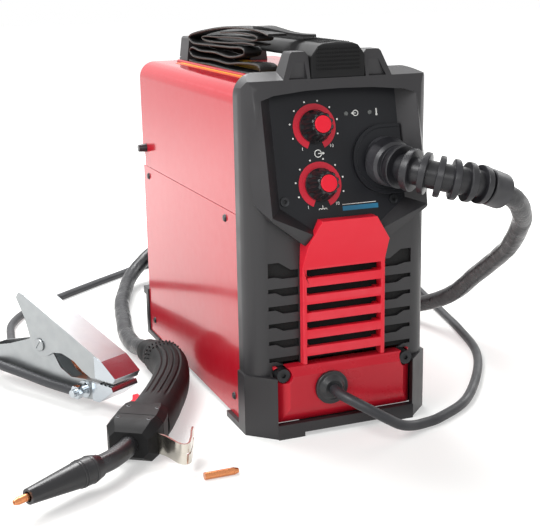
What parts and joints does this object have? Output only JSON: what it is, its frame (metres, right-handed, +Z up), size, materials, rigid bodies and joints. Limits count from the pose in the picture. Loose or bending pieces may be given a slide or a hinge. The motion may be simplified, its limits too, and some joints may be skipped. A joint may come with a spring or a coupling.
{
  "type": "flux-core wire welder with gun and work clamp",
  "caption": "Portable wire welder: red sheet metal case with black moulded front, gun on a sheathed cable, spring work clamp, carrying grip and side door over the wire feeder.",
  "frame": {"origin": "the middle of the box round the whole set without its loose cables, on the floor", "axes": "+X to the right across the front, +Y from the front to the back, +Z up"},
  "size_m": [0.6564, 0.769, 0.3812],
  "materials": {
    "black_moulding": "satin moulded",
    "red_moulding": "semi-gloss moulded",
    "crimson_print": "screen print",
    "lamp_lens": "clear lens, unlit",
    "black_knob": "satin moulded",
    "grey_rubber": "matt moulded",
    "zinc_sheet": "zinc plated sheet",
    "red_paint": "gloss powder coat",
    "black_screw": "black oxide",
    "black_sheet": "matt powder coat",
    "black_webbing": "woven nylon",
    "grey_moulding": "satin moulded",
    "black_spool": "satin moulded",
    "steel_wire": "drawn wire",
    "black_motor": "satin paint",
    "bright_steel": "turned",
    "cast_alloy": "die cast",
    "brass": "turned",
    "winding": "varnished core and winding",
    "gun_cable_sheath": "matt sheath",
    "black_rubber": "matt",
    "nozzle_phenolic": "matt moulded",
    "copper": "drawn copper",
    "zinc_steel": "galvanised stamping",
    "spring_steel": "oiled wire",
    "yellow_zinc": "passivated zinc",
    "black_cable": "satin sheath"
  },
  "bodies": {
    "machine": {"front_bezel": "black_moulding", "nose_grille": "red_moulding", "lower_front_panel": "red_moulding", "control_panel": "black_moulding", "dial_scales": "crimson_print", "indicator_lights": "lamp_lens", "gun_cable_nut": "black_moulding", "gun_cable_boot": "grey_rubber", "work_cable_gland": "black_moulding", "base_pan": "zinc_sheet", "case_wrapper": "red_paint", "lower_side_panel": "red_paint", "case_screws": "black_screw", "rear_panel": "black_sheet", "rear_foot": "black_moulding", "carrying_grip": "black_moulding", "rear_grip_mount": "black_moulding", "shoulder_strap": "black_webbing", "power_switch_housing": "black_moulding", "mains_gland": "black_moulding", "feed_shelf": "zinc_sheet", "feed_plate": "zinc_sheet", "spool_hub": "grey_moulding", "drive_motor": "black_motor", "wire_guide": "brass", "transformer": "winding", "fan_frame": "black_moulding", "gun_cable_front": "gun_cable_sheath", "gun_cable_coil": "gun_cable_sheath", "gun_cable_rear": "gun_cable_sheath", "gun_handle": "black_moulding", "gun_neck": "black_rubber", "gun_nozzle": "nozzle_phenolic", "gun_contact_tip": "copper", "gun_hook": "bright_steel", "clamp_lower_jaw": "zinc_steel", "clamp_rivet": "zinc_steel", "clamp_spring": "spring_steel", "clamp_braid": "copper", "clamp_bolt": "yellow_zinc", "work_cable_front": "black_cable", "work_cable_coil": "black_cable", "work_cable_rear": "black_cable", "spare_contact_tip": "copper"},
    "side_door": {"side_door": "red_paint"},
    "door_latch": {"door_latch_knob": "black_moulding"},
    "voltage_dial": {"voltage_knob": "black_knob", "voltage_knob_cap": "red_moulding"},
    "wire_speed_dial": {"wire_speed_knob": "black_knob", "wire_speed_knob_cap": "red_moulding"},
    "power_switch": {"power_rocker": "red_moulding"},
    "spool": {"wire_spool": "black_spool", "welding_wire": "steel_wire"},
    "drive_roller": {"drive_roll": "bright_steel"},
    "feed_arm": {"pressure_arm": "cast_alloy"},
    "idler_roller": {"idler_roll": "bright_steel"},
    "tension_screw": {"tension_knob": "black_knob"},
    "fan": {"fan_rotor": "black_moulding"},
    "trigger": {"gun_trigger": "red_moulding"},
    "clamp_jaw": {"clamp_upper_jaw": "zinc_steel"}
  },
  "joints": [
    {"name": "door_hinge", "type": "hinge", "parent": "machine", "child": "side_door", "pos_m": [0.04475, 0.0478, 0.3348], "axis": [0, 1, 0], "range_deg": [0, 90]},
    {"name": "door_latch_turn", "type": "hinge", "parent": "side_door", "child": "door_latch", "pos_m": [0.00345, 0.1988, 0.235], "axis": [-1, 0, 0], "range_deg": [0, 180]},
    {"name": "voltage_turn", "type": "hinge", "parent": "machine", "child": "voltage_dial", "pos_m": [0.07475, -0.13203, 0.294], "axis": [0, -0.9724, 0.2334], "range_deg": [-135, 135]},
    {"name": "wire_speed_turn", "type": "hinge", "parent": "machine", "child": "wire_speed_dial", "pos_m": [0.07475, -0.14464, 0.2415], "axis": [0, -0.9724, 0.2334], "range_deg": [-135, 135]},
    {"name": "power_rock", "type": "hinge", "parent": "machine", "child": "power_switch", "pos_m": [0.13475, 0.1903, 0.25], "axis": [1, 0, 0], "range_deg": [0, 24]},
    {"name": "spool_spin", "type": "hinge", "parent": "machine", "child": "spool", "pos_m": [0.12475, 0.1268, 0.262], "axis": [1, 0, 0], "continuous": true},
    {"name": "drive_spin", "type": "hinge", "parent": "machine", "child": "drive_roller", "pos_m": [0.14275, 0.0168, 0.2465], "axis": [1, 0, 0], "continuous": true},
    {"name": "feed_arm_lift", "type": "hinge", "parent": "machine", "child": "feed_arm", "pos_m": [0.13675, -0.0262, 0.291], "axis": [1, 0, 0], "range_deg": [0, 25]},
    {"name": "idler_spin", "type": "hinge", "parent": "feed_arm", "child": "idler_roller", "pos_m": [0.14275, 0.0168, 0.2735], "axis": [1, 0, 0], "continuous": true},
    {"name": "tension_turn", "type": "hinge", "parent": "feed_arm", "child": "tension_screw", "pos_m": [0.14075, 0.0083, 0.3], "axis": [0, 0, 1], "range_deg": [-180, 180]},
    {"name": "fan_spin", "type": "hinge", "parent": "machine", "child": "fan", "pos_m": [0.09675, 0.1768, 0.105], "axis": [0, 1, 0], "continuous": true},
    {"name": "trigger_press", "type": "hinge", "parent": "machine", "child": "trigger", "pos_m": [-0.09237, -0.08679, 0.02], "axis": [0, 0, -1], "range_deg": [0, 8], "stiffness_Nm_per_rad": 0.25, "springref_deg": -11.46},
    {"name": "clamp_open", "type": "hinge", "parent": "machine", "child": "clamp_jaw", "pos_m": [-0.14625, 0.06105, 0.058], "axis": [-0.866, -0.5, 0], "range_deg": [0, 25], "stiffness_Nm_per_rad": 5, "springref_deg": -22.92}
  ],
  "couplings": [
    {"joint": "idler_spin", "follows": "drive_spin", "ratio": -1}
  ]
}
